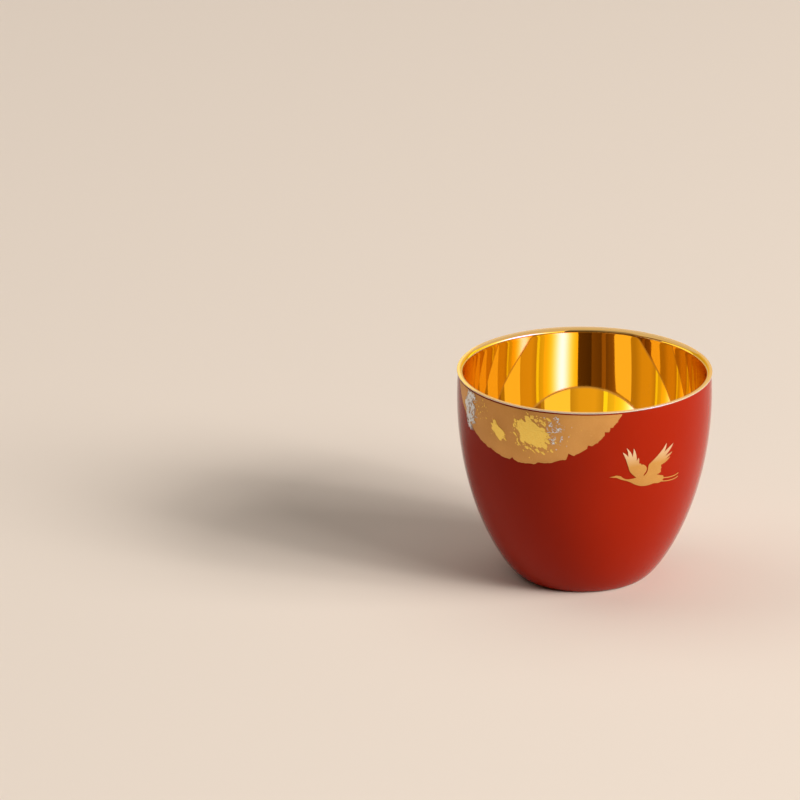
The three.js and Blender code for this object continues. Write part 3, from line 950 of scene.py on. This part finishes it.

# %% [markdown]
# ## Riding on the frame
# Each piece rides on the one body of this object, and the CAD nodes it stands for are
# hidden. The table also lists the material slot of the record its finish belongs to.

# %% Bodies, nodes and slots
dressed = [
    (lacquer_piece, "red_lacquer", ["lacquer_coat"]),
    (shell_piece, "shell_steel", ["outer_shell"]),
    (gilded_piece, "gilding", ["inner_shell"]),
    (plate_piece, "base_steel", ["base_plate"]),
    (seal_piece, "seal_glass", ["port_seal"]),
    (getter_piece, "getter_alloy", ["getter"]),
    (moon_piece, "moon_gold", ["gold_moon"]),
    (crane_piece, "crane_gold", ["gold_crane"]),
    (large_leaf, "gold_leaf", ["gold_leaf_large"]),
    (small_leaf, "gold_leaf", ["gold_leaf_small"]),
    (right_silver, "silver_leaf", ["silver_leaf_right"]),
    (left_silver, "silver_leaf", ["silver_leaf_left"]),
]
dressed += [(piece, "gold_leaf", []) for piece in gold_crumbs]
dressed += [(piece, "silver_leaf", []) for piece in silver_crumbs]
for piece, slot_name, nodes in dressed:
    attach(piece, "root")
    if nodes:
        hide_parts(*nodes)
print(len(dressed), "pieces,", sum(len(piece.data.polygons) for piece, _, _ in dressed), "faces")

# %% [markdown]
# ## The studio
# A cup with a mirror inside is lit by what stands round it. Seen from above the lip,
# the gilding reflects only a narrow ring of the room, about twenty degrees above the
# table, so the bands inside the cup are screens that stand there. A large soft light
# with a hot middle is on the right, warm walls are behind and at the left, and the
# camera's side is dark. A small card stands close to the lip, behind it at the left,
# and a dim room lies above and below the screens for the other views. All these show
# in reflections only. The light on the lacquer and on the table comes from lamps that
# no reflection shows: three side by side on the right, which give the shadow its soft
# edge, and two weak fills.

# %% Plain and glowing materials
def plain_material(name, shade, roughness=0.9):
    material, tree, shader, _ = new_material(name)
    set_inputs(tree, shader, {"Base Color": shade, "Roughness": roughness, "Specular IOR Level": 0.1})
    return material


def glowing(name, shade, start, end, at_start, at_end, glows=()):
    """Light that changes evenly from azimuth to azimuth. A glow adds a soft peak to it:
    its middle and width in degrees, its colour and its strength."""
    material = bpy.data.materials.new(name)
    material.use_nodes = True
    tree = material.node_tree
    tree.nodes.clear()
    place = node(tree, "ShaderNodeTexCoord").outputs["Object"]
    parts = node(tree, "ShaderNodeSeparateXYZ", {"Vector": place}).outputs
    back = math_node(tree, "MULTIPLY", parts["Y"], -1.0)
    turn = math_node(tree, "ARCTAN2", parts["X"], back)
    centre = math.radians((start + end) / 2)
    offset = math_node(tree, "WRAP", math_node(tree, "SUBTRACT", turn, centre), math.pi, -math.pi)
    half = math.radians((end - start) / 2)
    strength = spread(tree, offset, -half, half, at_start, at_end)
    light = node(tree, "ShaderNodeEmission", {"Color": shade, "Strength": strength}).outputs[0]
    for middle, width, hue, peak in glows:
        aside = math_node(tree, "SUBTRACT", offset, math.radians(middle) - centre)
        share = math_node(tree, "DIVIDE", aside, math.radians(width))
        fall = math_node(tree, "MULTIPLY", math_node(tree, "MULTIPLY", share, share), -1.0)
        bell = math_node(tree, "MULTIPLY", math_node(tree, "EXPONENT", fall), peak)
        more = node(tree, "ShaderNodeEmission", {"Color": hue, "Strength": bell})
        light = node(tree, "ShaderNodeAddShader", {0: light, 1: more.outputs[0]}).outputs[0]
    node(tree, "ShaderNodeOutputMaterial", {"Surface": light})
    return material


# %% Screens that only reflections show
room_radius = 1.5


def hidden(made):
    """A screen shows in reflections only, and throws no shadow."""
    made.visible_camera = False
    made.visible_diffuse = False
    made.visible_shadow = False


def panel(name, corners, material):
    """One flat or bent screen: pairs of low and high corners in metres, side by side."""
    faces = [(i, i + 1, i + 3, i + 2) for i in range(0, len(corners) - 2, 2)]
    made = mesh_object(name, corners, [], faces)
    made.data.materials.append(material)
    hidden(made)


def screen(name, start, end, material, low=12, high=33, distance=room_radius):
    """A curved screen round the cup, from one azimuth to another, in degrees right of -Y."""
    steps = max(4, int((end - start) / 3))
    corners = []
    for i in range(steps + 1):
        angle = math.radians(start + (end - start) * i / steps)
        for rise in (low, high):
            height = distance * math.tan(math.radians(rise))
            corners.append((distance * math.sin(angle), -distance * math.cos(angle), height))
    panel(name, corners, material)


# %% Table
pale = colour(0.78, 0.665, 0.56)
half_floor = 3
floor_corners = [(x * half_floor, y * half_floor, 0) for x, y in ((-1, -1), (1, -1), (1, 1), (-1, 1))]
floor = mesh_object("floor", floor_corners, [], [(0, 1, 2, 3)])
floor.data.materials.append(plain_material("pale floor", pale))
print("the table is", 2 * half_floor, "m wide")

# %% The bands inside the cup
soft = colour(1.0, 0.62, 0.03)
warm = colour(1.0, 0.56, 0.03)
dim = colour(1.0, 0.415, 0.04)
room = colour(1.0, 0.70, 0.36)

# Each screen has a shade, two azimuths in degrees, and a strength at both of them
walls = [
    ("soft light", soft, 18, 104, 1.30, 1.36),
    ("soft light edge", colour(1.0, 0.70, 0.03), 104, 132.5, 1.33, 0.98),
    ("bright stripe", colour(1.0, 0.86, 0.03), 132.5, 140.5, 1.36, 1.36),
    ("right wall", warm, 140.5, 156, 0.74, 0.99),
    ("back wall", warm, 156, 188, 1.01, 0.97),
    ("left wall", warm, 188, 207, 0.95, 0.68),
    ("left wall end", warm, 207, 265, 0.68, 0.60),
    ("dark left", dim, 265, 282, 0.48, 0.27),
    ("dark left end", dim, 282, 297, 0.31, 0.20),
    ("dim strip", dim, 297, 309, 0.40, 0.38),
    ("dark middle", dim, 309, 338.5, 0.165, 0.235),
    ("camera side", dim, 338.5, 378, 0.09, 0.14),
]
for name, shade, start, end, at_start, at_end in walls:
    screen(name, start, end, glowing(name, shade, start, end, at_start, at_end))
hot_strip = glowing("hot strip", soft, 18, 118, 1.33, 1.33,
                    [(63.5, 31, colour(1, 0.80, 0), 2.0), (63.5, 17.5, colour(0, 0, 1), 8.8)])
screen("hot strip", 18, 118, hot_strip, low=15, high=29, distance=1.4)
print(len(walls) + 1, "screens round the cup")

# %% The card and the dim room
card_low, card_high = 0.072, 0.104
card_ends = [(-0.035, 0.063), (-0.090, 0.007)]
card_corners = [(x, y, height) for x, y in card_ends for height in (card_low, card_high)]
panel("left card", card_corners, glowing("left card", colour(1.0, 0.68, 0.10), 0, 360, 1.45, 1.45))

backdrop = glowing("backdrop", room, 0, 360, 0.75, 0.75)
screen("low backdrop", 18, 300, backdrop, low=0, high=12)
screen("high backdrop", 18, 300, backdrop, low=33, high=60)
screen("dim backdrop", 300, 378, glowing("dim backdrop", room, 300, 378, 0.35, 0.35), low=33, high=60)
ceiling_height = room_radius * math.tan(math.radians(60))
ceiling_sides = (-room_radius, room_radius)
panel("ceiling", [(x, y, ceiling_height) for x in ceiling_sides for y in ceiling_sides], backdrop)


# %% Lamps
def area_light(name, azimuth, elevation, size, power, distance=4.0):
    lamp = bpy.data.lights.new(name, "AREA")
    lamp.shape = "SQUARE"
    lamp.size = size
    lamp.energy = power
    made = link_object(name, lamp)
    round_cup, above = math.radians(azimuth), math.radians(elevation)
    flat = distance * math.cos(above)
    made.location = (flat * math.sin(round_cup), -flat * math.cos(round_cup), distance * math.sin(above))
    made.rotation_euler = (-made.location).to_track_quat("-Z", "Y").to_euler()
    made.visible_glossy = False
    return made


lamps = [
    ("key", 62, 26, 1.2, 116.0),
    ("key right wing", 76, 32, 1.2, 60.0),
    ("key left wing", 48, 32, 1.2, 59.0),
    ("top fill", 170, 72, 3.6, 39.0),
    ("left fill", -110, 45, 3.0, 38.0),
]
for name, azimuth, elevation, size, power in lamps:
    area_light(name, azimuth, elevation, size, power)

world = bpy.data.worlds.new("studio")
world.use_nodes = True
background = world.node_tree.nodes["Background"]
set_inputs(world.node_tree, background, {"Color": colour(1.0, 0.95, 0.9), "Strength": 0.02})
scene.world = world
scene.cycles.max_bounces = 32
scene.cycles.glossy_bounces = 32

# %% [markdown]
# ## The camera
# The photograph was taken with a long lens from 20 degrees above. The lens and the
# place were worked out from the ellipse of the rim and the outline of the body.

# %% Camera and view
lens = bpy.data.cameras.new("camera")
lens.sensor_width = 36.0
lens.lens = 270.0
lens.clip_end = 50.0
camera = link_object("camera", lens)
camera.location = Vector((-60.65, -1853.62, 738.80)) * MM
camera.rotation_euler = (math.radians(69.869), 0, 0)
scene.camera = camera
scene.view_settings.view_transform = "Standard"
